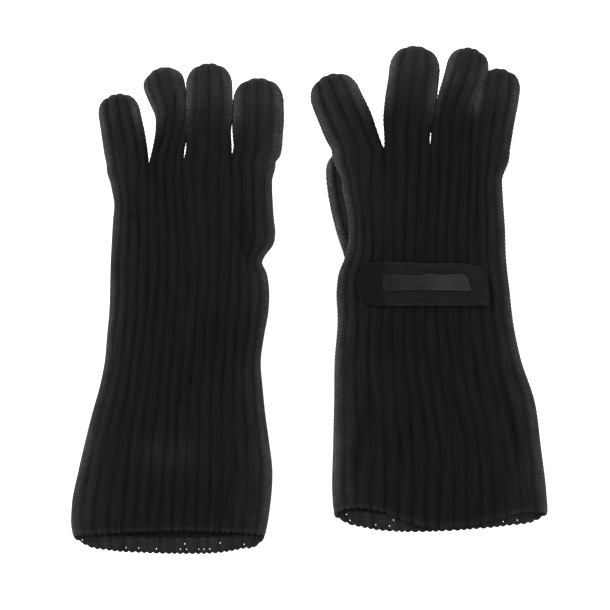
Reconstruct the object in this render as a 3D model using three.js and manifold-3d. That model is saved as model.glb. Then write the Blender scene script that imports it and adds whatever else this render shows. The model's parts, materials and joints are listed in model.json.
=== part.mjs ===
// A pair of rib-knit gauntlet gloves lying side by side, backs up, fingers towards +Y.
// Millimetres, +Z up. The origin is on the surface they lie on, under the middle of the pair.
// Each glove is a flattened tube (cuff and hand) that opens into four finger tubes, with the
// thumb tube folded under the palm. The right glove carries a wrist tab with a sewn label.
import * as THREE from 'three';
import { mergeVertices } from 'three/addons/utils/BufferGeometryUtils.js';
import Module from 'manifold-3d';

const wasm = await Module();
wasm.setup();

// ---- Driving dimensions ----
const WALL = 2.4; // one layer of the rib knit
const LAY = 11; // a tube lying flat: two layers and the slack between them
const THUMB_WALL = 2.1;
const THUMB_LAY = 8.6;
const THUMB_GAP = 1; // between the thumb and the palm that lies on it
const GAP = 0.6; // between pieces that bend on each other
const JOIN = 0.3; // between pieces that are knitted or sewn together
const LIFT = THUMB_LAY + THUMB_GAP; // how far the thumb holds up the palm that lies on it
const SIDES = 20; // facets round the hand and the cuff
const FINGER_SIDES = 12;
const SQUARENESS = 0.45; // exponent of the flattened section: 1 is an ellipse, 0 a box
const FLAT_TOP = 1.03; // the section is drawn this much too thick and cut off flat

const WRIST = -14; // the wrist bend, between the hand and the cuff
const LIFT_START = -44; // the tube begins to rise onto the thumb here
const LIFT_FULL = -6; // and is held right up from here to the fingers
const LIFT_ROWS = [-30, -20]; // extra rows where the tube curves up
const KNUCKLE_SAG = 0.9; // share of the lift that is left where a finger leaves the hand
const HEM = 8; // depth of the scalloped edge band at the mouth
const KNUCKLE_BACK = 20; // degrees a finger bends back
const WRIST_BACK = 35; // degrees the cuff bends back
const STUB = 20; // how far a finger's tube runs down into the hand before it is cut
const FINGER_SPLIT = 0.48; // the middle bend, as a share of the finger's length
const THUMB_SPLIT = 0.52;
const THUMB_HOLE = { across: 20, along: 12, below: 3 }; // where the thumb's tube leaves the palm

const TAB = { length: 92, depth: 30, thick: 1.6, anchor: 12.6, chamfer: [7, 14] };
const TAB_END = [-49.5, 10.6]; // the tab's round end, in the right glove's frame
const STRIP = 11.5; // the tab curves over the hand in strips of this length
const LABEL = { length: 58, depth: 12.6, thick: 0.8 };
const SEAM = { inset: 1.2, width: 0.8, height: 0.4 };
const LOOP_PATCH = { length: 70, depth: 24, thick: 0.8 };
const REST_CLEARANCE = 1.8; // between the hand's facets and the patch that lies on them

const BLACK_KNIT = 0x1f1d21;
const COLOURS = {
  knit: { color: BLACK_KNIT, roughness: 0.95, metalness: 0 },
  tab: { color: 0x1b1a1d, roughness: 0.85, metalness: 0 },
  label: { color: 0x242226, roughness: 0.5, metalness: 0 },
  thread: { color: 0x2b292d, roughness: 0.7, metalness: 0 },
};

// rows: [height up the glove, middle of the flattened tube, its width], hem to finger crotches
// fingers: knuckle [x, y], lean in degrees towards +X, length, width at the knuckle and the tip
const GLOVES = {
  right: {
    place: [79.7, -0.2],
    thumbSide: -1,
    mouth: -157.4,
    mouthSlant: 6,
    rows: [
      [-165, 11, 139],
      [-151, 11, 141],
      [-132, 8.7, 144.5],
      [-100, 6.8, 140.7],
      [-68, 4.7, 134.6],
      [-42, 0.3, 125.8],
      [-15, -0.9, 118],
      [7, -2.7, 116.9],
      [28, -1.4, 109.2],
      [48, -2.5, 110.5],
      [70, -4.8, 111.6],
      [84, -6, 113],
      [97, -3.8, 118],
    ],
    fingers: {
      index: { knuckle: [-47.5, 101], lean: -22.5, length: 54, widths: [33, 33] },
      middle: { knuckle: [-13.8, 107], lean: 6.5, length: 65, widths: [30, 34] },
      ring: { knuckle: [15.2, 107.5], lean: 9, length: 64, widths: [26, 25] },
      little: { knuckle: [44.5, 102], lean: 8, length: 54, widths: [28.5, 28] },
    },
    thumb: { knuckle: [-41, 35], lean: -13, length: 63, widths: [27, 28] },
  },
  left: {
    place: [-85.3, -0.2],
    thumbSide: 1,
    mouth: -172.4,
    mouthSlant: 14,
    rows: [
      [-182, -11, 128],
      [-160, -10.1, 130],
      [-140, -8.9, 134],
      [-115, -5.7, 130.6],
      [-77, -3.8, 116.7],
      [-42, -1.1, 105],
      [-15, 1.5, 107],
      [8, 3.6, 106.5],
      [25, 1.5, 101.3],
      [43, 2.2, 101.3],
      [62, 6, 106],
      [86, 5.4, 113],
    ],
    fingers: {
      index: { knuckle: [48, 97], lean: 3.8, length: 53, widths: [31, 33] },
      middle: { knuckle: [15.8, 96.5], lean: 1.6, length: 64, widths: [30.5, 30.5] },
      ring: { knuckle: [-11.8, 95.5], lean: -2.5, length: 63.5, widths: [22.5, 28] },
      little: { knuckle: [-38.3, 94.5], lean: -8.5, length: 45, widths: [27.5, 28.5] },
    },
    thumb: { knuckle: [46.5, 35], lean: -1.5, length: 60, widths: [27, 28] },
  },
};

// ---- Solids ----
const radians = THREE.MathUtils.degToRad;
const smooth = (value, from, to) => THREE.MathUtils.smoothstep(value, from, to);

/** A closed three.js geometry as a solid that can be joined and cut. */
function toSolid(geometry) {
  const bare = geometry.clone();
  bare.deleteAttribute('normal');
  bare.deleteAttribute('uv');
  const merged = mergeVertices(bare, 1e-4);
  return new wasm.Manifold(
    new wasm.Mesh({
      numProp: 3,
      vertProperties: new Float32Array(merged.attributes.position.array),
      triVerts: new Uint32Array(merged.index.array),
    }),
  );
}

/** A solid back as a three.js geometry. */
function toGeometry(solid) {
  const mesh = solid.getMesh();
  const geometry = new THREE.BufferGeometry();
  geometry.setAttribute('position', new THREE.BufferAttribute(mesh.vertProperties, 3));
  geometry.setIndex(new THREE.BufferAttribute(mesh.triVerts, 1));
  geometry.computeVertexNormals();
  return geometry;
}

/** A box between two corners, turned and moved by a matrix. */
function block(low, high, matrix = new THREE.Matrix4()) {
  const size = high.map((value, axis) => value - low[axis]);
  const centre = high.map((value, axis) => (value + low[axis]) / 2);
  const geometry = new THREE.BoxGeometry(...size);
  geometry.translate(...centre);
  geometry.applyMatrix4(matrix);
  return toSolid(geometry);
}

/** The flattened section of a tube as [across, up] points, standing on height 0. */
function section(width, lay, inset, sides) {
  return Array.from({ length: sides }, (_, i) => {
    const angle = (2 * Math.PI * i) / sides;
    const rise = Math.sin(angle);
    const across = Math.cos(angle) * (width / 2 - inset);
    const fullness = Math.min(1, FLAT_TOP * Math.abs(rise) ** SQUARENESS);
    return [across, lay / 2 + Math.sign(rise) * fullness * (lay / 2 - inset)];
  });
}

/** A closed solid through rings of points that follow each other towards +Y. */
function loft(rings) {
  const sides = rings[0].length;
  const positions = [];
  rings.forEach((ring) => ring.forEach((point) => positions.push(...point)));
  const capCentre = (ring) => {
    const sum = [0, 1, 2].map((axis) => ring.reduce((total, point) => total + point[axis], 0));
    positions.push(...sum.map((total) => total / sides));
    return positions.length / 3 - 1;
  };
  const start = capCentre(rings[0]);
  const end = capCentre(rings[rings.length - 1]);
  const last = (rings.length - 1) * sides;
  const index = [];
  for (let i = 0; i < sides; i += 1) {
    const next = (i + 1) % sides;
    for (let row = 0; row < rings.length - 1; row += 1) {
      const here = row * sides;
      const there = here + sides;
      index.push(here + i, there + i, here + next);
      index.push(there + i, there + next, here + next);
    }
    index.push(start, i, next);
    index.push(end, last + next, last + i);
  }
  const geometry = new THREE.BufferGeometry();
  geometry.setAttribute('position', new THREE.Float32BufferAttribute(positions, 3));
  geometry.setIndex(index);
  return toSolid(geometry);
}

/** How high the thumb holds the glove's tube at a place, in the glove's own frame. */
function liftAt(glove, x, y) {
  const [, middle, width] = rowAt(glove, y);
  const towardsThumb = (glove.thumbSide * (x - middle)) / width + 0.5;
  return LIFT * smooth(towardsThumb, 0.3, 0.68) * smooth(y, LIFT_START, LIFT_FULL);
}

/** The tube's row at any height, between the listed rows. */
function rowAt(glove, y) {
  const { rows } = glove;
  const above = Math.max(1, rows.findIndex((row) => row[0] >= y));
  const [low, high] = [rows[above - 1], rows[above]];
  const share = THREE.MathUtils.clamp((y - low[0]) / (high[0] - low[0]), 0, 1);
  return low.map((value, i) => THREE.MathUtils.lerp(value, high[i], share));
}

/** The flattened tube of cuff and hand between two heights, its surface moved in by inset. */
function tubeSolid(glove, from, to, inset) {
  const heights = [...glove.rows.map((row) => row[0]), ...LIFT_ROWS, from, to];
  const inside = heights.filter((y) => y >= from && y <= to).sort((a, b) => a - b);
  const rings = inside.map((y) => {
    const [, middle, width] = rowAt(glove, y);
    return section(width, LAY, inset, SIDES).map(([across, up]) => {
      const x = middle + across;
      return [x, y, up + liftAt(glove, x, y)];
    });
  });
  return loft(rings);
}

/** A finger's tube in its own frame: knuckle at the origin, tip on +Y, lying on height 0. */
function fingerSolid({ length, widths }, lay, inset) {
  const tip = length - inset;
  const round = 0.72; // share of the length where the tip starts to close
  const places = [-STUB / tip, 0, round, 0.9, 1];
  const rings = places.map((place) => {
    const y = place * tip;
    const closed = Math.max(0, (place - round) / (1 - round));
    const closing = Math.sqrt(1 - 0.85 * closed ** 2.4);
    const width = THREE.MathUtils.lerp(widths[0], widths[1], Math.max(0, place));
    const halfAcross = (width / 2 - inset) * closing;
    const halfUp = (lay / 2 - inset) * (0.5 + 0.5 * closing);
    return section(2 * halfAcross, 2 * halfUp, 0, FINGER_SIDES).map(([across, up]) => {
      return [across, y, lay / 2 - halfUp + up];
    });
  });
  return loft(rings);
}

/** A cutter for everything beyond (or before) a bend that opens back by so many degrees. */
function bendCutter(side, place, back, halfWidth, reach) {
  const tilt = new THREE.Matrix4().makeRotationX(side * radians(back / 2));
  const move = new THREE.Matrix4().makeTranslation(0, place - (side * GAP) / 2, 0);
  const [near, far] = side > 0 ? [0, reach] : [-reach, 0];
  return block([-halfWidth, near, -40], [halfWidth, far, 40], move.multiply(tilt));
}

// ---- Scene graph helpers ----
function materialOf(slot) {
  return new THREE.MeshStandardMaterial(COLOURS[slot]);
}

function addMesh(parent, name, geometry, slot) {
  const mesh = new THREE.Mesh(geometry, materialOf(slot));
  mesh.name = name;
  parent.add(mesh);
  return mesh;
}

/** A group at a digit's knuckle, leaning in the plane and dipping from its raised knuckle. */
function digitGroup(parent, { knuckle, lean, length }, rise) {
  const group = new THREE.Group();
  group.position.set(knuckle[0], knuckle[1], rise);
  const dip = Math.asin(rise / length);
  group.rotation.set(-dip, 0, -radians(lean), 'ZXY');
  group.updateMatrix();
  parent.add(group);
  return group;
}

/** How high a finger's knuckle is held: where the middle of its tube leaves the hand. */
function knuckleRise(glove, finger) {
  return KNUCKLE_SAG * liftAt(glove, finger.knuckle[0], finger.knuckle[1]);
}

// ---- Fingers and thumbs ----
/** The two tubes of one digit, either side of its middle bend. */
function addDigit(parent, name, digit, { lay, wall, split, openBase, rise }) {
  const group = digitGroup(parent, digit, rise);
  const shell = fingerSolid(digit, lay, 0).subtract(fingerSolid(digit, lay, wall));
  const bend = digit.length * split;
  const wide = Math.max(...digit.widths);
  const below = openBase(wide);
  const beyondBend = bendCutter(1, bend, KNUCKLE_BACK, wide, 2 * digit.length);
  const beforeBend = bendCutter(-1, bend, KNUCKLE_BACK, wide, 2 * digit.length);
  const base = shell.subtract(below).subtract(beyondBend);
  const tip = shell.subtract(beforeBend);
  addMesh(group, `${name}_base`, toGeometry(base), 'knit');
  addMesh(group, `${name}_tip`, toGeometry(tip), 'knit');
}

function addFingers(parent, side, glove) {
  const openBase = (wide) => bendCutter(-1, 0, KNUCKLE_BACK, wide, 2 * STUB);
  Object.entries(glove.fingers).forEach(([name, finger]) => {
    const rise = knuckleRise(glove, finger);
    const build = { lay: LAY, wall: WALL, split: FINGER_SPLIT, openBase, rise };
    addDigit(parent, `${side}_${name}`, finger, build);
  });
}

function addThumb(parent, side, glove) {
  const openBase = (wide) => block([-wide, -2 * STUB, -40], [wide, 0, 40]);
  const build = { lay: THUMB_LAY, wall: THUMB_WALL, split: THUMB_SPLIT, openBase, rise: 0 };
  addDigit(parent, `${side}_thumb`, glove.thumb, build);
}

// ---- Hand, cuff and hem ----
/** The stretch of finger tube that belongs to the hand, below each knuckle. */
function fingerStub(glove, finger, inset) {
  const group = digitGroup(new THREE.Group(), finger, knuckleRise(glove, finger));
  const beyond = block([-50, 3, -40], [50, 120, 40]);
  return placed(fingerSolid(finger, LAY, inset).subtract(beyond), group.matrix);
}

function placed(solid, matrix) {
  const geometry = toGeometry(solid);
  geometry.applyMatrix4(matrix);
  return toSolid(geometry);
}

/** The hole in the palm that the thumb's tube leads from. */
function thumbHole(glove) {
  const [x, y] = glove.thumb.knuckle;
  const { across, along, below } = THUMB_HOLE;
  const top = y - below;
  return block([x - across / 2, top - along, -1], [x + across / 2, top, LIFT + LAY / 2]);
}

function handSolid(glove) {
  const top = glove.rows[glove.rows.length - 1][0];
  const fingers = Object.values(glove.fingers);
  let outer = tubeSolid(glove, WRIST - 12, top, 0);
  let inner = tubeSolid(glove, WRIST - 20, top - WALL, WALL);
  fingers.forEach((finger) => {
    outer = outer.add(fingerStub(glove, finger, 0));
    inner = inner.add(fingerStub(glove, finger, WALL));
  });
  let hand = outer.subtract(inner);
  fingers.forEach((finger) => {
    const group = digitGroup(new THREE.Group(), finger, knuckleRise(glove, finger));
    const half = Math.max(...finger.widths) / 2 + 1;
    hand = hand.subtract(placed(bendCutter(1, 0, KNUCKLE_BACK, half, 60), group.matrix));
  });
  return hand.subtract(bendCutter(-1, WRIST, WRIST_BACK, 120, 60)).subtract(thumbHole(glove));
}

/** Everything towards the mouth of a slanted plane, so the lower layer reaches further out. */
function mouthCutter(glove, height) {
  const angle = Math.atan(glove.mouthSlant / LAY);
  const turn = new THREE.Matrix4().makeRotationX(-angle);
  const move = new THREE.Matrix4().makeTranslation(0, height, 0);
  return block([-120, -120, -80], [120, 0, 80], move.multiply(turn));
}

function cuffSolids(glove) {
  const outer = tubeSolid(glove, glove.mouth, WRIST + 12, 0);
  const inner = tubeSolid(glove, glove.mouth - 5, WRIST + 18, WALL);
  const shell = outer.subtract(inner).subtract(mouthCutter(glove, glove.mouth));
  const cuff = shell
    .subtract(bendCutter(1, WRIST, WRIST_BACK, 120, 60))
    .subtract(mouthCutter(glove, glove.mouth + HEM + JOIN));
  const hem = shell.intersect(mouthCutter(glove, glove.mouth + HEM));
  return { cuff, hem };
}

function addTube(parent, side, glove) {
  const { cuff, hem } = cuffSolids(glove);
  addMesh(parent, `${side}_hand`, toGeometry(handSolid(glove)), 'knit');
  addMesh(parent, `${side}_cuff`, toGeometry(cuff), 'knit');
  addMesh(parent, `${side}_cuff_hem`, toGeometry(hem), 'knit');
}

// ---- Wrist tab and label ----
/** The part of the tab that peels: a round free end towards the thumb, square at the fold. */
function flapOutline({ length, depth, anchor }) {
  const half = depth / 2;
  const fold = length - anchor - GAP / 2;
  const shape = new THREE.Shape();
  shape.moveTo(fold, -half);
  shape.lineTo(fold, half);
  shape.lineTo(half, half);
  shape.absarc(half, 0, half, Math.PI / 2, (3 * Math.PI) / 2, false);
  shape.closePath();
  return shape;
}

/** The sewn end of the tab, with one chamfered corner. */
function anchorOutline({ length, depth, anchor, chamfer }) {
  const half = depth / 2;
  const fold = length - anchor + GAP / 2;
  const shape = new THREE.Shape();
  shape.moveTo(fold, -half);
  shape.lineTo(length, -half);
  shape.lineTo(length, half - chamfer[1]);
  shape.lineTo(length - chamfer[0], half);
  shape.lineTo(fold, half);
  shape.closePath();
  return shape;
}

function rectangle(length, depth) {
  const shape = new THREE.Shape();
  shape.moveTo(-length / 2, -depth / 2);
  shape.lineTo(length / 2, -depth / 2);
  shape.lineTo(length / 2, depth / 2);
  shape.lineTo(-length / 2, depth / 2);
  shape.closePath();
  return shape;
}

/** A line of thread round a rectangle. */
function seamRing(length, depth) {
  const shape = rectangle(length, depth);
  shape.holes.push(rectangle(length - 2 * SEAM.width, depth - 2 * SEAM.width));
  return shape;
}

/** A thin sheet lying on the hand, cut into strips that follow the lift across the wrist. */
function layered(glove, shape, thick, [x, y], level) {
  const flat = new THREE.ExtrudeGeometry(shape, { depth: thick, bevelEnabled: false, curveSegments: 6 });
  flat.translate(x, y, 0);
  const whole = toSolid(flat);
  const edges = Array.from({ length: Math.ceil(TAB.length / STRIP) + 1 }, (_, i) => i * STRIP);
  const strips = edges.map((edge) => {
    const from = TAB_END[0] + edge;
    return whole.intersect(block([from, -200, -5], [from + STRIP, 200, 5]));
  });
  const geometry = toGeometry(strips.reduce((joined, strip) => joined.add(strip)));
  const points = geometry.attributes.position;
  for (let i = 0; i < points.count; i += 1) {
    const lift = liftAt(glove, points.getX(i), TAB_END[1]);
    points.setZ(i, points.getZ(i) + level + lift);
  }
  geometry.computeVertexNormals();
  return geometry;
}

function addWristTab(parent, glove) {
  const [x, y] = TAB_END;
  const fold = x + TAB.length - TAB.anchor;
  const tabLevel = LAY + REST_CLEARANCE + LOOP_PATCH.thick + JOIN;
  const labelLevel = tabLevel + TAB.thick + JOIN;
  const labelAt = [fold - 1.5 - LABEL.length / 2, y];
  const anchorAt = [x + TAB.length - TAB.anchor / 2, y - 1];
  const patch = rectangle(LOOP_PATCH.length, LOOP_PATCH.depth);
  const patchAt = [fold - LOOP_PATCH.length / 2 - 2, y];
  const labelSeam = seamRing(LABEL.length - 2 * SEAM.inset, LABEL.depth - 2 * SEAM.inset);
  const anchorSeam = seamRing(TAB.anchor - 2 * SEAM.inset, TAB.depth - 4 * SEAM.inset);
  const pieces = [
    ['loop_patch', patch, LOOP_PATCH.thick, patchAt, LAY + REST_CLEARANCE, 'tab'],
    ['wrist_tab', flapOutline(TAB), TAB.thick, TAB_END, tabLevel, 'tab'],
    ['tab_anchor', anchorOutline(TAB), TAB.thick, TAB_END, tabLevel, 'tab'],
    ['tab_seam', anchorSeam, SEAM.height, anchorAt, labelLevel, 'thread'],
    ['label', rectangle(LABEL.length, LABEL.depth), LABEL.thick, labelAt, labelLevel, 'label'],
    ['label_seam', labelSeam, SEAM.height, labelAt, labelLevel + LABEL.thick + JOIN, 'thread'],
  ];
  pieces.forEach(([name, shape, thick, at, level, slot]) => {
    addMesh(parent, `right_${name}`, layered(glove, shape, thick, at, level), slot);
  });
}

// ---- The pair ----
const pair = new THREE.Group();
Object.entries(GLOVES).forEach(([side, glove]) => {
  const group = new THREE.Group();
  group.position.set(glove.place[0], glove.place[1], 0);
  pair.add(group);
  addTube(group, side, glove);
  addFingers(group, side, glove);
  addThumb(group, side, glove);
  if (side === 'right') {
    addWristTab(group, glove);
  }
});

export default pair;
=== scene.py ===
import json
import math

import bpy
import numpy as np
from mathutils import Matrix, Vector


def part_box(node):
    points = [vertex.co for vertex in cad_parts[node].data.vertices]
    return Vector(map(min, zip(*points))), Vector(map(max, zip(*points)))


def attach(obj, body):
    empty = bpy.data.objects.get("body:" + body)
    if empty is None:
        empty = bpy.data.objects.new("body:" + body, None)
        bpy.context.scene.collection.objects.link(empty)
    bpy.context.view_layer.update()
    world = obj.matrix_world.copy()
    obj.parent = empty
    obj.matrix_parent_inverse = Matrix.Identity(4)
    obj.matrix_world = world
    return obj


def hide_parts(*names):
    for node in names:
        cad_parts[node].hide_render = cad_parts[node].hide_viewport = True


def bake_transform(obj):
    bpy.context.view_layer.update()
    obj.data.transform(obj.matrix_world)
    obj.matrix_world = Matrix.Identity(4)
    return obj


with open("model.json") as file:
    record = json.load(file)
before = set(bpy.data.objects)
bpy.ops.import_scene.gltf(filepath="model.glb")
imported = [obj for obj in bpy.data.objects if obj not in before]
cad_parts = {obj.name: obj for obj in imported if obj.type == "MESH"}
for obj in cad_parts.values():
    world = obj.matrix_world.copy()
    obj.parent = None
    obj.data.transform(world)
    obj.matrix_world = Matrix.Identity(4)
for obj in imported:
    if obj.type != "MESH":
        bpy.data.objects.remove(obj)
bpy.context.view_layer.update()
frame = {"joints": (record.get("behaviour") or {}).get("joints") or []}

# A pair of rib-knit gauntlet gloves lying flat, backs up. All shapes below are in millimetres in
# the shared frame and become metres where a mesh is made. Each glove is one flattened ribbed
# tube; places round it are counted in ribs, 0 to 16 over the back and 16 to 32 under the palm.

# ---- Driving dimensions ----
RIBS = 16  # ribs across the back of a glove
FINGER_RIBS = 4  # ribs across the top of a finger
STEPS = 6  # mesh columns in one rib
STITCH = 2.7  # one knitted row
ROW = STITCH / 2  # mesh rows
RIB = 1.9  # how far a rib stands above its grooves
BEAD = 0.2  # how far the knit swells with each stitch
HALF = 3.6  # half the thickness of a flattened tube, in the grooves
THUMB_HALF = 2.4  # the same of a thumb
INSET = 0.3  # the grooves' outline lies this far inside the silhouette
WALL = 1.5  # knit thickness in the grooves
MIDDLE = HALF + RIB  # height of the middle of a tube that lies on the ground
TUBE_COLUMNS = 2 * RIBS * STEPS
FINGER_COLUMNS = 2 * FINGER_RIBS * STEPS

LIFT = 9.6  # the thumb holds up the palm that lies on it
LIFT_ACROSS = (0.3, 0.68)  # it rises between these shares of the width, towards the thumb
LIFT_ALONG = (-44, -6)  # and between these heights
KNUCKLE_SAG = 0.1  # the share of the lift that is lost again towards the fingers
LEAN_START = 5  # from here up the ribs lean towards the fingers they run into
TIP_INSET = 0.8  # fingertips end this much short, for the ribs that stand on them
STRAIGHT = (-128, 80)  # between these heights the knitted rows run straight across
WRIST_SEAM = -5  # the hand's piece ends and the cuff's begins
WRIST_END = -30  # given as the end of the wrist's bend, which nothing uses
HEM = 8  # height of the hem
HAND_UNLINED = 18  # mesh rows below the fingers where the hand has no inner wall
MIDDLE_BEND = 8.5  # a digit's upper piece starts this far before its middle joint
BEND_GAP = 0.2  # a digit's bend ends are given this far inside its piece, but nothing bends
THUMB_SWING = (-12, 13)  # distances from where the thumb swings, given as its bend's ends, but nothing bends
MOUTH_SLACK = 0.6  # how far the upper layer sags into the open mouth, as a share
SCALLOP = 1.1  # depth of the hem's scallops
EYELET_ROWS = ((1, 0.2), (3, 0.1))  # mesh row and how likely an eyelet is there
EYELET_SEEDS = {"left": 2349, "right": 1966}
EYELET_CLOSING = 0.55  # how far an eyelet's corners are drawn in

# How much pale fuzz lies on the knit, 0 to 1, and how far in ribs it reaches from a fold; on the folds,
# the sides and the fingers it also stands for painted rim sheen.
FOLD_FUZZ_AND_SHEEN, FOLD_REACH = 0.46, 0.2
SIDE_FUZZ_AND_SHEEN, SIDE_REACH = 0.32, 1.1
FINGER_FUZZ_AND_SHEEN, TIP_FUZZ_AND_SHEEN = 0.1, 0.6
# The second value is pale fuzz and painted light on the inside of the hem, where the upper layer shades
# it.
HEM_FUZZ, INSIDE_FUZZ_AND_LIGHT = 0.12, 0.2
CREASE_SHADE = 0.16  # how much painted shade a crease 1 mm deep gets

# edges: height, left edge, right edge. mouths and widths: share, value. creases: start, end, half
# width and depth, where a depth below 0 raises the cloth.
GLOVES = {
    "right": {
        "thumb_side": -1,
        "edges": [
            (-160, 22, 158), (-146, 17.2, 161.2), (-132, 15.8, 160.6), (-100, 16.4, 156.7),
            (-68, 17.2, 152), (-42, 17.6, 143.4), (-15, 19.4, 137.8), (7, 18.8, 135.3),
            (18, 20.4, 133.9), (28, 24.4, 132.9), (49, 27.2, 132), (64, 25, 131), (73, 23, 130.5),
            (86, 21.6, 130.5), (94, 19.4, 132.4), (102, 15.6, 136),
        ],
        "mouth_top": [
            (0, -145), (0.06, -141.5), (0.2, -141.5), (0.33, -148.5), (0.45, -153.8),
            (0.66, -152), (0.78, -147), (0.9, -143.2), (1, -144),
        ],
        "mouth_under": [
            (0, -145), (0.06, -151), (0.14, -154), (0.32, -156.8), (0.45, -156.8),
            (0.66, -155), (0.82, -152.6), (0.94, -149.4), (1, -144),
        ],
        "crotches": [(15.8, 100), (50.7, 100), (81.6, 102), (109.2, 103), (135.2, 100)],
        "fingers": {
            "index": {
                "line": [(24.8, 121), (17, 139.5), (13, 153.2)],
                "widths": [(0.1, 33.6), (0.35, 34.6), (0.7, 33.6)],
            },
            "middle": {
                "line": [(66, 106), (66.4, 118), (68, 130), (70.7, 150), (72.7, 172.8)],
                "widths": [(0.06, 30.2), (0.16, 30.6), (0.26, 32.8), (0.42, 34.4), (0.66, 34)],
            },
            "ring": {
                "line": [(95.8, 107), (96.6, 118), (98.4, 130), (105.6, 151), (110.4, 171.2)],
                "widths": [(0.06, 26.8), (0.2, 27.2), (0.4, 25.4), (0.7, 27.6)],
            },
            "little": {
                "line": [(124.6, 121), (127.4, 138), (129.4, 157.4)],
                "widths": [(0.3, 28.2), (0.7, 29)],
            },
        },
        "thumb": {
            "line": [(42, -34), (40, 0), (38, 30), (31.4, 52), (26.2, 75), (25, 86), (27, 101)],
            "widths": [(0, 24), (0.3, 30), (0.5, 28), (0.6, 28), (0.85, 27)],
        },
        "creases": [
            ((52.5, -86), (55, -118), 1.3, 1.7), ((61, -84), (64, -120), 1.3, 1.7),
            ((69, -78), (71, -104), 1.3, 1.5), ((76, -74), (79, -98), 1.3, 1.4),
            ((43, -64), (44, -84), 1.3, 1.4), ((95, -60), (112, -104), 3.2, 0.9),
            ((127, -44), (142, -104), 2.2, 1.0), ((112, -34), (116, -62), 1.4, 0.8),
            ((84, -112), (90, -138), 1.5, 1.3), ((40, -60), (31, -120), 2.8, 0.7),
            ((127, 108), (124, 132), 1.4, 1.0), ((110, 104), (111, 132), 2.4, 1.2),
        ],
        "wander": 0.008,
        "phase": 0.6,
    },
    "left": {
        "thumb_side": 1,
        "edges": [
            (-172, -154, -34), (-158, -160.4, -30), (-140, -161, -26.8), (-115, -156, -25.4),
            (-96, -151.5, -27.8), (-77, -146.7, -30.5), (-60, -142, -32.2), (-42, -138.4, -33.4),
            (-24, -136.9, -30.9), (-8, -135.3, -28), (10, -134.6, -27.9), (18, -134.4, -29.4),
            (25, -134.2, -32.4), (31, -133.9, -29.8), (37, -133.6, -25.2), (45, -133.2, -23.6),
            (54, -132.7, -24.5), (64, -131.9, -25.2), (76, -133.9, -25.6), (86, -136.2, -25),
            (96, -137.6, -21.6),
        ],
        "mouth_top": [
            (0, -159.5), (0.08, -158.8), (0.25, -157), (0.5, -156), (0.75, -156.6),
            (0.92, -157.8), (1, -158.5),
        ],
        "mouth_under": [
            (0, -159.5), (0.05, -165.5), (0.17, -169.4), (0.34, -171), (0.57, -171.8),
            (0.76, -171), (0.88, -168.4), (0.97, -164.8), (1, -158.5),
        ],
        "crotches": [(-137, 91.5), (-109.1, 89), (-86, 91.5), (-52.6, 91.5), (-23.4, 93)],
        "fingers": {
            "little": {
                "line": [(-126, 110), (-128.5, 124), (-131.3, 140)],
                "widths": [(0.4, 28.6), (0.75, 27.4)],
            },
            "ring": {
                "line": [(-95.4, 103), (-93.6, 114), (-93.2, 126), (-97, 141), (-102.2, 157.6)],
                "widths": [(0.12, 21.2), (0.32, 19.8), (0.5, 19.8), (0.75, 24.8), (0.9, 26.8)],
                "twist": -0.7,
            },
            "middle": {
                "line": [(-68.2, 98), (-68.4, 116), (-67.8, 138), (-68.6, 161)],
                "widths": [(0.06, 31.6), (0.2, 30.1), (0.34, 30.4), (0.44, 31.6), (0.7, 31)],
            },
            "index": {
                "line": [(-35.4, 100), (-34.9, 115), (-34.6, 132), (-35.2, 151)],
                "widths": [(0.06, 31), (0.2, 32.4), (0.34, 33.8), (0.46, 34.8), (0.7, 34)],
            },
        },
        "thumb": {
            "line": [(-44, -34), (-43.6, 0), (-44.6, 26), (-42, 46), (-42, 66), (-44, 94)],
            "widths": [(0, 24), (0.3, 24), (0.47, 22), (0.62, 27), (0.85, 27)],
        },
        "creases": [
            ((-124, 56), (-99, 57), 2.4, 0.6), ((-98, 60), (-98, 86), 3.0, 0.5),
            ((-62, -130), (-64, -152), 1.6, 1.7), ((-54, -124), (-57, -150), 1.5, 1.3),
            ((-78, -50), (-91, -74), 1.6, 1.5), ((-50, 52), (-40, 24), 2.2, 0.8),
            ((-44, 62), (-38, 30), 1.6, 0.6), ((-88.5, 145), (-93.8, 117), 1.7, 1.6),
            ((-93.8, 117), (-106, 95), 1.8, 1.8), ((-108, 84), (-101, 92), 1.8, 1.0),
            ((-120, -104), (-72, -104), 10, -0.55),
        ],
        "wander": 0.004,
        "phase": 2.1,
    },
}


# ---- Curves and rings ----
def smooth(value, start, end):
    share = np.clip((value - start) / (end - start), 0, 1)
    return share * share * (3 - 2 * share)


def curve(points, at):
    """A smooth curve through (place, value) points, read at any places."""
    place, value = np.array(points, float).T
    slope = np.gradient(value, place)
    at = np.clip(at, place[0], place[-1])
    before = np.clip(np.searchsorted(place, at) - 1, 0, len(place) - 2)
    step = place[before + 1] - place[before]
    t = (at - place[before]) / step
    from_value = (1 + 2 * t) * (1 - t) ** 2 * value[before]
    from_slope = t * (1 - t) ** 2 * step * slope[before]
    to_value = t * t * (3 - 2 * t) * value[before + 1]
    to_slope = t * t * (t - 1) * step * slope[before + 1]
    return from_value + from_slope + to_value + to_slope


def unit(vectors):
    return vectors / np.linalg.norm(vectors, axis=-1, keepdims=True)


def flat_ring(share, width, half):
    """A flattened tube's section, left fold to right fold as share goes 0 to 1: across and up."""
    quarter = math.pi * half / 2
    length = width - 2 * half + 2 * quarter
    travel = share * length
    left = travel < quarter
    right = travel > length - quarter
    turn = np.where(left, travel, length - travel) / half
    across = np.where(left, half - half * np.cos(turn), half + travel - quarter)
    across = np.where(right, width - half + half * np.cos(turn), across)
    up = np.where(left | right, half * np.sin(np.clip(turn, 0, math.pi / 2)), half)
    return across, up


def over_and_under(ribs, count):
    """Places counted in ribs round a tube, as a share across it and +1 on top or -1 beneath."""
    on_top = ribs <= count
    return np.where(on_top, ribs, 2 * count - ribs) / count, np.where(on_top, 1, -1)


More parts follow.
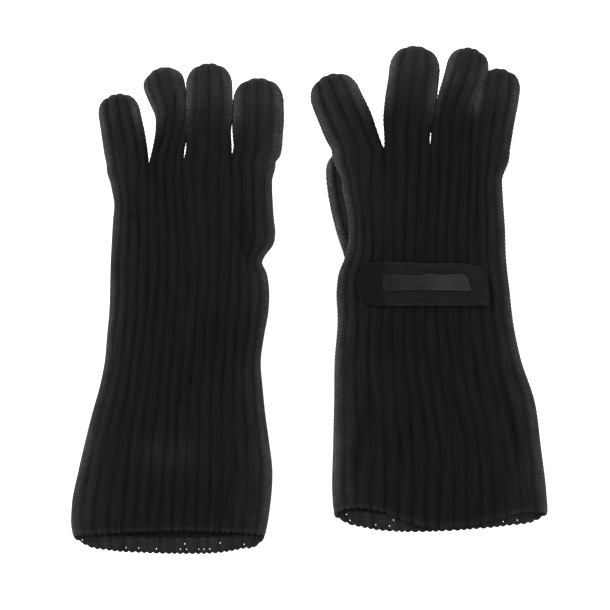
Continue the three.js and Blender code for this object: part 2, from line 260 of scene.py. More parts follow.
def grid_normals(points):
    """Outward normals of a closed grid of rings."""
    round_it = np.roll(points, -1, axis=1) - np.roll(points, 1, axis=1)
    along_it = np.gradient(points, axis=0)
    normal = np.cross(round_it, along_it)
    size = np.linalg.norm(normal, axis=-1, keepdims=True)
    return normal / np.maximum(size, 1e-9)


def rib_relief(ribs, rows):
    """How far the knit stands out, for places in ribs round the tube and stitches along it."""
    uneven = 0.88 + 0.12 * np.sin(12.9 * np.floor(ribs) + rows / 7)
    swell = BEAD * np.cos(2 * math.pi * rows)
    return RIB * uneven * np.abs(np.sin(math.pi * ribs)) ** 0.7 + swell


# ---- The tube of cuff and hand ----
def edges_at(glove, y):
    rows = np.array(glove["edges"], float)
    left = curve(rows[:, [0, 1]], y) + INSET
    right = curve(rows[:, [0, 2]], y) - INSET
    return left, right


def calm_edges_at(glove, y):
    """The edges with their quick bends smoothed out, which the middle ribs follow."""
    nearby = [edges_at(glove, y + step) for step in np.linspace(-45, 45, 11)]
    return np.mean(nearby, axis=0)


def crease_depth(glove, x, y):
    """How deep the cloth sinks along its creases, which taper at both ends."""
    depth = 0 * x
    for start, end, half_width, deep in glove["creases"]:
        run = np.subtract(end, start)
        share = ((x - start[0]) * run[0] + (y - start[1]) * run[1]) / (run @ run)
        share = np.clip(share, 0, 1)
        away = np.hypot(x - start[0] - share * run[0], y - start[1] - share * run[1])
        taper = np.sin(math.pi * (0.04 + 0.92 * share)) ** 0.7
        depth = depth + deep * taper * np.exp(-((away / half_width) ** 2))
    return depth


def lift_at(glove, x, y):
    left, right = edges_at(glove, y)
    towards = (x - left) / (right - left)
    if glove["thumb_side"] < 0:
        towards = 1 - towards
    sag = 1 - KNUCKLE_SAG * smooth(y, 75, 104)
    return LIFT * smooth(towards, *LIFT_ACROSS) * smooth(y, *LIFT_ALONG) * sag


def crotch_ring(glove, share, side):
    """The tube's last ring, where it parts into four finger rings side by side."""
    points = np.array(glove["crotches"], float)
    finger = np.clip(np.floor(share * 4).astype(int), 0, 3)
    start, end = points[finger], points[finger + 1]
    width = np.linalg.norm(end - start, axis=-1)
    across, up = flat_ring(share * 4 - finger, width, HALF)
    ground = start + (end - start) * (across / width)[..., None]
    return ground[..., 0], ground[..., 1], up * side


def tube_heights(glove, nominal, share, side, crotch_y):
    """Real height of each mesh row: straight in the middle, curved to the mouth and crotches."""
    low, high = STRAIGHT
    mouth = np.where(side > 0, curve(glove["mouth_top"], share), curve(glove["mouth_under"], share))
    to_mouth = np.clip((low - nominal) / (low - nominal.min()), 0, 1)
    to_crotch = np.clip((nominal - high) / (nominal.max() - high), 0, 1)
    y = np.clip(nominal, low, high)
    y = y + to_mouth * (mouth - low) + to_crotch * (crotch_y - high)
    return y, to_mouth, to_crotch


def tube_rows(glove):
    """The mesh rows' heights, as if mouth and crotches ran straight across."""
    first = np.mean([y for _, y in glove["mouth_under"]]) + 4
    last = np.mean([y for _, y in glove["crotches"]])
    rows = round((last - first) / ROW) + 1
    return np.linspace(first, last, rows)[:, None]


def wander(glove, nominal, share):
    """How far the ribs stray sideways on the cuff, as a share of its width."""
    phase = glove["phase"]
    drift = np.sin(nominal / 19 + phase) + np.sin(nominal / 37 + 7 * share + phase)
    drift = drift + 0.5 * np.sin(nominal / 9 + 41 * share)
    return glove["wander"] * np.sin(math.pi * share) * drift * (1 - smooth(nominal, -20, 60))


def tube_section(glove, nominal, share, y):
    """Across and up of the tube's points. Its ribs keep calm lines and lean to their fingers."""
    bent = share + wander(glove, nominal, share)
    left, right = edges_at(glove, y)
    across, up = flat_ring(bent, right - left, HALF)
    calm_left, calm_right = calm_edges_at(glove, y)
    calm_across, _ = flat_ring(bent, calm_right - calm_left, HALF)
    inward = smooth(share, 0.02, 0.3) * smooth(1 - share, 0.02, 0.3)
    x = left + across + inward * (calm_left + calm_across - left - across)
    parting = np.interp(share, np.linspace(0, 1, 5), [place for place, _ in glove["crotches"]])
    lean = inward * smooth(nominal, LEAN_START, nominal.max())
    return x * (1 - lean) + parting * lean, up


def tube_base(glove):
    """The tube without its ribs: points, ribs round it, and stitches along it."""
    nominal = tube_rows(glove)
    ribs = np.arange(TUBE_COLUMNS)[None, :] / STEPS + 0 * nominal
    share, side = over_and_under(ribs, RIBS)
    crotch_x, crotch_y, crotch_up = crotch_ring(glove, share, side)
    y, to_mouth, to_crotch = tube_heights(glove, nominal, share, side, crotch_y)
    x, up = tube_section(glove, nominal, share, y)
    belly = np.sin(math.pi * share)
    up = up * side * (1 - MOUTH_SLACK * belly ** 0.7 * to_mouth ** 2 * (side > 0))
    ease = smooth(to_crotch, 0, 1)
    x = x * (1 - ease) + crotch_x * ease
    pinch = smooth(to_crotch, 0.25, 1)
    up = up * (1 - pinch) + crotch_up * pinch
    sway = 0.5 * belly * (side > 0) * np.sin(nominal / 16 + 9 * share + glove["phase"])
    z = MIDDLE + up + lift_at(glove, x, y) + sway * (1 - smooth(to_crotch, 0, 0.6))
    z = z - crease_depth(glove, x, y) * np.clip(up / HALF, 0, 1)
    return np.stack([x, y, z], -1), ribs, nominal / STITCH + 0 * ribs


# ---- Digits ----
def digit_frames(line, first_across):
    """Points, forward and across directions along a digit's centreline, read by distance."""
    line = np.array(line, float)
    steps = np.linalg.norm(np.diff(line, axis=0), axis=1)
    place = np.concatenate([[0], np.cumsum(steps)])
    length = place[-1]

    def read(distance):
        x = curve(np.stack([place, line[:, 0]], -1), distance)
        y = curve(np.stack([place, line[:, 1]], -1), distance)
        ahead = unit(np.stack([np.gradient(x, distance), np.gradient(y, distance)], -1))
        across = np.stack([ahead[:, 1], -ahead[:, 0]], -1)
        if first_across is not None:
            ease = smooth(distance, 0, 15)[:, None]
            across = unit(first_across * (1 - ease) + across * ease)
        return np.stack([x, y], -1), ahead, across

    return length, read


def digit_outline(digit, first_ring):
    """A digit's centreline, its widths and the direction across its first ring, if it has one."""
    line = digit["line"]
    widths = [(share, width - 2 * INSET) for share, width in digit["widths"]]
    first_across = None
    if first_ring is not None:
        start, end = np.array(first_ring, float)
        line = [tuple((start + end) / 2), *line]
        first_width = np.linalg.norm(end - start)
        first_across = (end - start) / first_width
        widths = [(0, first_width), *widths]
    return line, [*widths, (1, widths[-1][1])], first_across


def digit_ground(centre, ahead, sideways, width, cap, beyond, across):
    """The digit's points on the ground. beyond is how far round the tip each row is, 0 to 1."""
    last = np.count_nonzero(beyond == 0) - 1
    for values in (centre, ahead, sideways):
        values[last:] = values[last]
    from_middle = 2 * across / width - 1
    across = from_middle * np.sqrt(1 - beyond ** 2 / 2) * width / 2
    forward = cap * beyond * np.sqrt(1 - from_middle ** 2 / 2)
    return (
        centre[:, None, :]
        + sideways[:, None, :] * across[..., None]
        + ahead[:, None, :] * forward[..., None]
    )


def digit_base(digit, first_ring, half, rise, grow=None):
    """A digit without its ribs: points, ribs, stitches and how far the ribs stand there.

    first_ring is the crotch pair it grows from, or None. rise lifts its first ring onto the
    hand's, and grow says how much of its thickness it has at a share of its length.
    """
    line, widths, first_across = digit_outline(digit, first_ring)
    length, read = digit_frames(line, first_across)
    length -= TIP_INSET
    cap = 0.5 * widths[-1][1]
    body = np.linspace(0, length - cap, round((length - cap) / ROW) + 1)
    closing = np.sin(np.linspace(0, math.pi / 2, 15))[1:]
    distance = np.concatenate([body, length - cap + cap * closing])
    beyond = np.concatenate([0 * body, closing])[:, None]
    ribs = np.arange(FINGER_COLUMNS)[None, :] / STEPS
    share, side = over_and_under(ribs, FINGER_RIBS)
    width = curve(widths, distance / length)[:, None]
    halves = half * (np.ones_like(width) if grow is None else grow(distance / length)[:, None])
    across, up = flat_ring(share, width, halves)
    ground = digit_ground(*read(distance), width, cap, beyond, across)
    round_start = max(1 - 1.8 * half / cap, 0)
    closed = np.sqrt(1 - np.clip((beyond - round_start) / (1 - round_start), 0, 1) ** 2)
    settle = (half - 2.5) * (1 - closed)
    fade = (1 - np.minimum(distance / (length - cap * 0.4), 1))[:, None]
    z = halves + RIB + up * side * closed - settle + rise * fade
    points = np.concatenate([ground, z[..., None]], -1)
    twist = digit.get("twist", 0) * smooth(distance / length, 0.1, 0.75)[:, None]
    relief = 0.25 + 0.75 * closed
    relief[-1] = 0
    return points, ribs + twist, distance[:, None] / STITCH + 0 * ribs, relief * halves / half


def hand_columns(finger):
    """The hand's columns that a finger's columns continue."""
    column = np.arange(FINGER_COLUMNS)
    over = column + FINGER_RIBS * STEPS * finger
    under = TUBE_COLUMNS - 2 * FINGER_RIBS * STEPS - FINGER_RIBS * STEPS * finger + column
    return np.where(column <= FINGER_RIBS * STEPS, over, under)


# ---- Meshes ----
class Patchwork:
    """Collects grids of rings into one mesh, with a UV counted in ribs and stitches."""

    def __init__(self):
        self.points, self.normals, self.faces, self.uvs, self.fuzz_and_painted_light = [], [], [], [], []
        self.count = 0

    def add(self, points, normals, ribs, rows, fuzz_and_painted_light=0.0, flip=False, keep=None):
        height, columns = points.shape[:2]
        index = self.count + np.arange(height * columns).reshape(height, columns)
        after = np.roll(index, -1, axis=1)
        faces = np.stack([index[:-1], after[:-1], after[1:], index[1:]], -1)
        next_rib = np.roll(ribs, -1, axis=1)
        next_rib[:, -1] = 2 * ribs[:, -1] - ribs[:, -2]
        corner = np.stack([ribs, rows], -1)
        next_corner = np.stack([next_rib, np.roll(rows, -1, axis=1)], -1)
        uvs = np.stack([corner[:-1], next_corner[:-1], next_corner[1:], corner[1:]], -2)
        if keep is not None:
            faces, uvs = faces[keep], uvs[keep]
        faces, uvs = faces.reshape(-1, 4), uvs.reshape(-1, 4, 2)
        if flip:
            faces, uvs, normals = faces[:, ::-1], uvs[:, ::-1], -normals
        self.points.append(points.reshape(-1, 3))
        self.normals.append(normals.reshape(-1, 3))
        self.faces.append(faces)
        self.uvs.append(uvs)
        self.fuzz_and_painted_light.append((fuzz_and_painted_light + 0 * points[..., 0]).ravel())
        self.count += height * columns
        return index

    def build(self, name, material, own_normals=True):
        mesh = bpy.data.meshes.new(name)
        points = np.concatenate(self.points) / 1000
        faces = np.concatenate(self.faces)
        mesh.from_pydata(points.tolist(), [], faces.tolist())
        layer = mesh.uv_layers.new(name="knit")
        layer.data.foreach_set("uv", np.concatenate(self.uvs).astype(np.float32).ravel())
        # The attribute holds pale fuzz and painted light: painted rim sheen and edge highlights above 0,
        # painted crease shade below.
        painted_light_and_fuzz = mesh.attributes.new("fuzz_and_painted_light", "FLOAT", "POINT")
        painted_light_and_fuzz.data.foreach_set("value", np.concatenate(self.fuzz_and_painted_light).astype(np.float32))
        mesh.shade_smooth()
        if own_normals:
            mesh.normals_split_custom_set_from_vertices(np.concatenate(self.normals).tolist())
        mesh.materials.append(material)
        piece = bpy.data.objects.new(name, mesh)
        bpy.context.scene.collection.objects.link(piece)
        return piece


def wall_faces(outer, inner, keep):
    """The faces that join an outer and an inner grid round every edge of the kept cells."""
    columns = outer.shape[1]
    padded = np.pad(keep, ((1, 1), (0, 0)))  # nothing is kept beyond the first and last rows
    walls = []
    for row, column in zip(*np.nonzero(keep)):
        after = (column + 1) % columns
        corners = [(row, column), (row, after), (row + 1, after), (row + 1, column)]
        below, above = padded[row, column], padded[row + 2, column]
        for edge, kept in enumerate((below, keep[row, after], above, keep[row, column - 1])):
            if not kept:
                a, b = corners[edge], corners[(edge + 1) % 4]
                walls.append([outer[b], outer[a], inner[a], inner[b]])
    return np.array(walls)


# ---- Joints ----
def joint_place(name):
    joint = next(j for j in frame["joints"] if j["name"] == name)
    place = np.array(joint["pos_m"], float) * 1000
    axis = np.array(joint["axis"], float)
    return place, axis


def metres(point):
    return tuple(float(value) / 1000 for value in point)


def blend_along(piece, bodies, place, direction, start, end):
    """Bakes the piece's transform into its mesh and bends nothing; the places start and end millimetres
    along a direction are worked out and dropped, and the two bodies are not used.
    """
    direction = np.array([*direction, 0.0])
    metres(place + direction * start)
    metres(place + direction * end)
    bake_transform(piece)


def reach(points, place, direction):
    """How far a ring's points lie along a direction from a place: least and most."""
    along = (points[:, :2] - place[:2]) @ np.array(direction[:2])
    return along.min(), along.max()


# ---- Materials ----
YARN_DARK, YARN_LIGHT = (0.0028, 0.0028, 0.0031), (0.0075, 0.0075, 0.0085)
# Pale colours for lint and for the painted rim sheen on folds and fingertips.
FUZZ_SHEEN_DARK, FUZZ_SHEEN_LIGHT = (0.025, 0.0228, 0.0272), (0.127, 0.114, 0.132)


def new_material(name):
    material = bpy.data.materials.new(name)
    material.use_nodes = True
    tree = material.node_tree
    return material, tree, tree.nodes["Principled BSDF"]


def feed(tree, node, inputs):
    """Sets a node's inputs to plain values, or links them to other nodes."""
    for name, value in inputs.items():
        if isinstance(value, Value):
            value = value.socket
        if isinstance(value, bpy.types.NodeSocket):
            tree.links.new(value, node.inputs[name])
        else:
            node.inputs[name].default_value = value


class Value:
    """A number in a shader. What is worked out from it makes the nodes that do so."""

    def __init__(self, tree, socket):
        self.tree, self.socket = tree, socket

    def do(self, operation, *others):
        node = self.tree.nodes.new("ShaderNodeMath")
        node.operation = operation
        feed(self.tree, node, dict(enumerate((self, *others))))
        return Value(self.tree, node.outputs[0])

    def __add__(self, other):
        return self.do("ADD", other)

    def __sub__(self, other):
        return self.do("SUBTRACT", other)

    def __mul__(self, other):
        return self.do("MULTIPLY", other)

    def clamped(self, low, high):
        return self.do("MAXIMUM", low).do("MINIMUM", high)


def object_place(tree):
    return tree.nodes.new("ShaderNodeTexCoord").outputs["Object"]


def split_xy(tree, vector):
    node = tree.nodes.new("ShaderNodeSeparateXYZ")
    feed(tree, node, {"Vector": vector})
    return Value(tree, node.outputs["X"]), Value(tree, node.outputs["Y"])


def noise(tree, scale, detail, place=None):
    node = tree.nodes.new("ShaderNodeTexNoise")
    place = place or object_place(tree)
    feed(tree, node, {"Scale": scale, "Detail": detail, "Vector": place})
    return Value(tree, node.outputs["Fac"])


def ramp(tone, dark, light, low=0.3, high=0.7):
    node = tone.tree.nodes.new("ShaderNodeValToRGB")
    for stop, place, colour in zip(node.color_ramp.elements, (low, high), (dark, light)):
        stop.position = place
        stop.color = (*colour, 1)
    feed(tone.tree, node, {"Fac": tone})
    return node.outputs["Color"]


def mix(share, first, second):
    node = share.tree.nodes.new("ShaderNodeMix")
    node.data_type = "RGBA"
    feed(share.tree, node, {"Factor": share, "A": first, "B": second})
    return node.outputs["Result"]


def scaled(colour, scale):
    node = scale.tree.nodes.new("ShaderNodeVectorMath")
    node.operation = "SCALE"
    feed(scale.tree, node, {0: colour, "Scale": scale})
    return node.outputs[0]


def bump(height, strength, distance, normal=(0, 0, 0)):
    node = height.tree.nodes.new("ShaderNodeBump")
    inputs = {"Strength": strength, "Distance": distance, "Height": height, "Normal": normal}
    feed(height.tree, node, inputs)
    return node.outputs["Normal"]


def knit_place(tree):
    node = tree.nodes.new("ShaderNodeUVMap")
    node.uv_map = "knit"
    return node.outputs["UV"]


# Reads the mesh attribute of pale fuzz and painted light and shade.
def fuzz_and_painted_light_of(tree):
    node = tree.nodes.new("ShaderNodeAttribute")
    node.attribute_name = "fuzz_and_painted_light"
    return Value(tree, node.outputs["Fac"])


def stitch_height(rib, row):
    """Two columns of knit stitches on each rib and purl bumps in the grooves, 0 to 1."""
    across = rib.do("FRACT")
    column = ((across - 0.12) * (2 / 0.76)).do("FRACT")
    from_centre = (column - 0.5).do("ABSOLUTE")
    leg = (from_centre * (2 * math.pi)).do("SINE")
    wave = ((row + from_centre * 1.1) * (2 * math.pi)).do("COSINE")
    loop = leg * (wave * 0.35 + 0.65)
    purl = (row * (2 * math.pi)).do("COSINE") * 0.12 + 0.12
    in_groove = ((across - 0.5).do("ABSOLUTE") * 10 - 3.3).clamped(0, 1)
    return loop + (purl - loop) * in_groove


def streaks(tree):
    """Uneven yarn: tones that run along the knitted columns."""
    stretch = tree.nodes.new("ShaderNodeMapping")
    feed(tree, stretch, {"Scale": (2.6, 0.07, 1), "Vector": knit_place(tree)})
    return noise(tree, 1, 3, stretch.outputs["Vector"])


def knit_colour(tree, rib, stitches, fibres):
    """Black yarn, pale lint and painted rim sheen where the mesh attribute is above 0, and painted crease
    shade where it is below.
    """
    # The crest term lightens the ribs' crests a little over their grooves: painted groove shade.
    crest = (rib * math.pi).do("SINE").do("ABSOLUTE")
    tone = streaks(tree) * 0.6 + stitches * 0.25 + fibres * 0.25 + crest * 0.08
    yarn = ramp(tone, YARN_DARK, YARN_LIGHT, 0.35, 0.85)
    fuzz_and_sheen = ramp(tone, FUZZ_SHEEN_DARK, FUZZ_SHEEN_LIGHT, 0.35, 0.9)
    fuzz_and_painted_light = fuzz_and_painted_light_of(tree)
    lint_and_sheen = noise(tree, 420, 4) * noise(tree, 60, 3) * 2.4 + 0.15
    lint_and_sheen = (lint_and_sheen * fuzz_and_painted_light).clamped(0, 1)
    # Below 0 the colour is scaled down: painted shade in the creases.
    return scaled(mix(lint_and_sheen, yarn, fuzz_and_sheen), (fuzz_and_painted_light + 1).clamped(0.2, 1))


def knit_material():
    material, tree, shader = new_material("black_knit")
    rib, row = split_xy(tree, knit_place(tree))
    stitches = stitch_height(rib, row)
    fibres = noise(tree, 2600, 2)
    inputs = {
        "Base Color": knit_colour(tree, rib, stitches, fibres),
        "Roughness": 0.85,
        "Specular IOR Level": 0.06,
        "Sheen Weight": 0.04,
        "Sheen Roughness": 0.3,
        "Sheen Tint": (0.8, 0.74, 0.86, 1),
        "Normal": bump(stitches, 0.55, 0.0006, bump(fibres, 0.35, 0.0002)),
    }
    feed(tree, shader, inputs)
    return material


def cloth_material(name, dark, light, roughness, sheen, weave, depth, gloss):
    """A flat cloth or hide with fine crossed threads or grain, paler where painted highlights lie along
    its edges.
    """
    material, tree, shader = new_material(name)
    x, y = split_xy(tree, object_place(tree))
    turns = 2 * math.pi / weave
    cross = (x * turns).do("SINE") * (y * turns).do("SINE") * 0.5 + 0.5
    height = noise(tree, 900, 3) * 0.5 + cross * 0.5
    tone = noise(tree, 70, 3) * 0.5 + height * 0.5
    inputs = {
        "Base Color": scaled(ramp(tone, dark, light), fuzz_and_painted_light_of(tree) + 1),
        "Roughness": roughness,
        "Specular IOR Level": gloss,
        "Sheen Weight": sheen,
        "Sheen Roughness": 0.5,
        "Normal": bump(height, 0.6, depth),
    }
    feed(tree, shader, inputs)
    return material


def darken_along_x(material, start, end, share):
    """Keeps only a share of the colour on the side of smaller X, so the cloth is darker there."""
    tree = material.node_tree
    base = tree.nodes["Principled BSDF"].inputs["Base Color"]
    along = tree.nodes.new("ShaderNodeMapRange")
    along.interpolation_type = "SMOOTHSTEP"
    x, _ = split_xy(tree, object_place(tree))
    inputs = {"Value": x, "From Min": start, "From Max": end, "To Min": share, "To Max": 1}
    feed(tree, along, inputs)
    kept = Value(tree, along.outputs["Result"])
    tree.links.new(scaled(base.links[0].from_socket, kept), base)


KNIT = knit_material()
WEBBING = cloth_material(
    "black_tab_cloth",
    (0.0036, 0.0035, 0.0042),
    (0.0068, 0.0065, 0.0078),
    roughness=0.7, sheen=0.02, weave=0.0009, depth=0.00012, gloss=0.07,
)
PILE = cloth_material(
    "loop_pile",
    (0.004, 0.004, 0.0045),
    (0.012, 0.012, 0.013),
    roughness=0.95, sheen=0.2, weave=0.0016, depth=0.0006, gloss=0.05,
)
LABEL = cloth_material(
    "label_hide",
    (0.0078, 0.0076, 0.0086),
    (0.0175, 0.0171, 0.019),
    roughness=0.42, sheen=0.0, weave=0.0005, depth=0.00004, gloss=0.13,
)
THREAD = cloth_material(
    "sewing_thread",
    (0.009, 0.009, 0.01),
    (0.022, 0.022, 0.024),
    roughness=0.6, sheen=0.02, weave=0.0004, depth=0.0001, gloss=0.1,
)
STRAP_DARK_END = (0.0495, 0.053, 0.45)  # from X, to X in metres, and the share of colour kept
LABEL_DARK_END = (0.074, 0.084, 0.25)
darken_along_x(WEBBING, *STRAP_DARK_END)
darken_along_x(LABEL, *LABEL_DARK_END)


# ---- Glove pieces ----
def inner_wall(patchwork, points, normals, ribs, rows):
    """The inside of the knit: coarser, with its ribs where the outside has its grooves."""
    some_rows = sorted({*range(0, len(points), 3), len(points) - 1})
    points, normals, ribs, rows = (
        values[some_rows, ::2] for values in (points, normals, ribs, rows)
    )
    depth = WALL + 0.5 * (1 - np.abs(np.sin(math.pi * ribs)) ** 0.6)
    inside = points - normals * depth[..., None]
    patchwork.add(inside, grid_normals(inside), ribs + 0.5, rows, flip=True)


def shrink_holes(points, keep):
    """Draws the corners of each eyelet in towards its middle."""
    for row, column in zip(*np.nonzero(~keep)):
        rows, columns = [row, row, row + 1, row + 1], [column, column + 1, column + 1, column]
        columns = np.mod(columns, points.shape[1])
        corners = points[rows, columns]
        points[rows, columns] = corners + EYELET_CLOSING * (corners.mean(axis=0) - corners)


def eyelet_cells(side, count, columns):
    """Which cells of the hem are kept. Most eyelets are in the layer beneath."""
    keep = np.ones((count, columns), bool)
    chance = np.random.default_rng(EYELET_SEEDS[side])
    for row, likely in EYELET_ROWS:
        holes = np.arange(1 + row // 3, columns, STEPS // 2)
        likely = np.where(holes < TUBE_COLUMNS / 2, likely / 4, likely)
        keep[row, holes[chance.random(len(holes)) < likely]] = False
    return keep


def build_hem(side, points, normals, ribs, rows, count):
    """The scalloped, eyeleted edge of the mouth, as a thick band."""
    part = slice(count + 1)
    points, normals, ribs, rows = points[part], normals[part], ribs[part], rows[part]
    edge = np.arange(count + 1)[:, None] * ROW
    near = 1 - smooth(edge, 0, 5)
    swell = 0.35 * np.exp(-((edge - 1.4) / 1.1) ** 2) + 0 * ribs
    relief = rib_relief(ribs, rows) * (1 - 0.45 * near) + swell
    outer = points + normals * relief[..., None]
    inner = points - normals * WALL
    keep = eyelet_cells(side, count, points.shape[1])
    for cloth in (outer, inner):
        cloth[..., 1] -= SCALLOP * np.abs(np.sin(2 * math.pi * ribs)) * np.exp(-edge / 1.6)
        shrink_holes(cloth, keep)
    fuzz_and_painted_light = fold_fuzz_and_sheen(ribs, RIBS) + HEM_FUZZ * near
    patchwork = Patchwork()
    outer_index = patchwork.add(outer, normals, ribs, rows, fuzz_and_painted_light, keep=keep)
    inner_index = patchwork.add(inner, normals, ribs, rows, INSIDE_FUZZ_AND_LIGHT, flip=True, keep=keep)
    walls = wall_faces(outer_index, inner_index, keep)
    patchwork.faces.append(walls)
    patchwork.uvs.append(np.zeros((len(walls), 4, 2)))
    hem = patchwork.build(f"{side}_hem_band", KNIT, own_normals=False)
    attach(hem, f"{side}_cuff")
    finish_piece(hem, "knit", f"{side}_cuff_hem")


def finish_piece(piece, slot, *nodes):
    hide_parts(*nodes)


def fold_fuzz_and_sheen(ribs, count):
    """Pale fuzz and painted rim sheen along the two folds of a tube: most on the fold, and fading
    inwards.
    """
    share, _ = over_and_under(ribs, count)
    inside = np.minimum(share, 1 - share) * count
    on_fold = np.minimum(3 * np.exp(-inside / FOLD_REACH), FOLD_FUZZ_AND_SHEEN)
    return on_fold + SIDE_FUZZ_AND_SHEEN * np.exp(-inside / SIDE_REACH)


def tube_fuzz_sheen_and_shade(points, ribs, glove):
    """The tube's fuzz and painted rim sheen, less along its creases, which get painted shade."""
    _, side = over_and_under(ribs, RIBS)
    crease_shade_depth = crease_depth(glove, points[..., 0], points[..., 1]) * (side > 0)
    return fold_fuzz_and_sheen(ribs, RIBS) - CREASE_SHADE * crease_shade_depth


def bend_wrist(side, piece):
    """Hands a piece below the wrist seam to blend_along, which only bakes its transform."""
    place, _ = joint_place(f"{side}_wrist_bend")
    start, end = WRIST_SEAM - 1 - place[1], WRIST_END - place[1]
    blend_along(piece, (f"{side}_hand", f"{side}_cuff"), place, (0, 1), start, end)


def knit_piece(name, surface, part, lining=None):
    """Part of a knitted surface as one mesh, with the inside of the knit where lining gives it."""
    patchwork = Patchwork()
    patchwork.add(*(values[part] for values in surface))
    if lining is not None:
        inner_wall(patchwork, *lining)
    return patchwork.build(name, KNIT)


def build_tube(side, glove, finger_starts):
    """The hand and cuff. finger_starts gives each finger's first ring, which ends the hand."""
    points, ribs, rows = tube_base(glove)
    normals = grid_normals(points)
    outer = points + normals * rib_relief(ribs, rows)[..., None]
    for finger, ring in enumerate(finger_starts):
        outer[-1, hand_columns(finger)] = ring["points"]
    outer_normals = grid_normals(outer)
    for finger, ring in enumerate(finger_starts):
        outer_normals[-1, hand_columns(finger)] = ring["normals"]
    surface = (outer, outer_normals, ribs, rows, tube_fuzz_sheen_and_shade(points, ribs, glove))
    hem = round(HEM / ROW)
    seam = int(np.argmin(np.abs(points[:, 0, 1] - WRIST_SEAM)))
    lined = slice(seam, -HAND_UNLINED)
    lining = (points[lined], normals[lined], ribs[lined], rows[lined])
    hand = knit_piece(f"{side}_hand_knit", surface, slice(seam, None), lining)
    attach(hand, f"{side}_hand")
    finish_piece(hand, "knit", f"{side}_hand")
    part = slice(hem, seam + 1)
    lining = (points[part], normals[part], ribs[part], rows[part])
    cuff = knit_piece(f"{side}_cuff_knit", surface, part, lining)
    bend_wrist(side, cuff)
    finish_piece(cuff, "knit", f"{side}_cuff")
    build_hem(side, points, normals, ribs, rows, hem)


def digit_surface(glove, points, ribs, rows, relief, before=None):
    """Ribs and normals of a digit. before holds the hand's rows that lead into it."""
    sunk = crease_depth(glove, points[..., 0], points[..., 1])
    middle = points[..., 2].mean(axis=1, keepdims=True)
    points[..., 2] -= sunk * np.clip((points[..., 2] - middle) / HALF, 0, 1)
    if before is None:
        normals = grid_normals(points)
    else:
        normals = grid_normals(np.concatenate([before, points]))[len(before) :]
    height = rib_relief(ribs, rows) * relief
    outer = points + normals * height[..., None]
    return outer, grid_normals(outer)


def digit_fuzz_and_sheen(ribs, rows, thumb):
    """Pale fuzz and painted rim sheen along a digit's folds and more towards its tip, going on from the
    hand's.
    """
    along = (rows - rows.min()) / (rows.max() - rows.min())
    painted_light_and_fuzz = fold_fuzz_and_sheen(np.arange(FINGER_COLUMNS)[None, :] / STEPS, FINGER_RIBS)
    from_tip = (rows.max() - rows) * STITCH
    painted_light_and_fuzz = painted_light_and_fuzz + FINGER_FUZZ_AND_SHEEN * smooth(along, 0.3, 1) + TIP_FUZZ_AND_SHEEN * np.exp(-from_tip / 1.5)
    if thumb:
        return painted_light_and_fuzz
    leaves = smooth(along, 0.2, 0.75)
    return fold_fuzz_and_sheen(ribs, RIBS) * (1 - leaves) + painted_light_and_fuzz * leaves


def build_digit(side, name, outer, normals, ribs, rows, thumb=False):
    """One digit as a lower and an upper piece, parted a little before its middle joint; a thumb also has
    its gusset.
    """
    root = "thumb_swing" if thumb else f"{name}_knuckle"
    knuckle, _ = joint_place(f"{side}_{root}")
    middle, axis = joint_place(f"{side}_{name}_curl")
    ahead = unit(np.array([axis[1], -axis[0]]))
    to_middle = (middle[:2] - knuckle[:2]) @ ahead
    along = (outer[..., :2].mean(axis=1) - knuckle[:2]) @ ahead
    cut = int(np.argmin(np.abs(along - (to_middle - MIDDLE_BEND))))
    base_body, tip_body = f"{side}_{name}_base", f"{side}_{name}_tip"
    surface = (outer, normals, ribs, rows, digit_fuzz_and_sheen(ribs, rows, thumb))
    first_row = 0
    if thumb:
        first_row = int(np.argmin(np.abs(outer[..., 1].mean(axis=1) - WRIST_SEAM)))
        gusset = knit_piece(f"{side}_thumb_gusset", surface, slice(first_row + 1))
        bend_wrist(side, gusset)
        finish_piece(gusset, "knit", base_body)
    base = knit_piece(f"{side}_{name}_lower", surface, slice(first_row, cut + 1))
    first = reach(outer[0], knuckle, ahead)[1] + BEND_GAP
    last = reach(outer[cut], knuckle, ahead)[0] - BEND_GAP
    bend = THUMB_SWING if thumb else (first, last)
    blend_along(base, (f"{side}_hand", base_body), knuckle, ahead, *bend)
    finish_piece(base, "knit", base_body)
    tip = knit_piece(f"{side}_{name}_upper", surface, slice(cut, None))
    first = reach(outer[cut], middle, ahead)[1] + BEND_GAP
    blend_along(tip, (base_body, tip_body), middle, ahead, first, -first)
    finish_piece(tip, "knit", tip_body)


def build_glove(side, glove):
    hand, _, _ = tube_base(glove)
    starts = []
    for finger, (name, digit) in enumerate(glove["fingers"].items()):
        columns = hand_columns(finger)
        pair = glove["crotches"][finger : finger + 2]
        ring = hand[-1, columns]
        share, side_sign = over_and_under(np.arange(FINGER_COLUMNS) / STEPS, FINGER_RIBS)
        _, up = flat_ring(share, np.linalg.norm(np.subtract(*pair)), HALF)
        rise = ring[:, 2] - MIDDLE - up * side_sign
        points, ribs, rows, relief = digit_base(digit, pair, HALF, rise)
        ribs = ribs + FINGER_RIBS * finger
        rows = rows + hand[-1, 0, 1] / STITCH
        outer, normals = digit_surface(glove, points, ribs, rows, relief, hand[-4:-1, columns])
        build_digit(side, name, outer, normals, ribs, rows)
        starts.append({"points": outer[0], "normals": normals[0]})
    build_tube(side, glove, starts)
    build_thumb(side, glove)


def build_thumb(side, glove):
    """The thumb and the gusset it grows from, which fills the space under the raised palm."""

    def grow(share):
        return 0.12 + 0.88 * smooth(share, 0, 0.22)

    points, ribs, rows, relief = digit_base(glove["thumb"], None, THUMB_HALF, 0, grow)
    outer, normals = digit_surface(glove, points, ribs, rows, relief)
    build_digit(side, "thumb", outer, normals, ribs, rows, thumb=True)


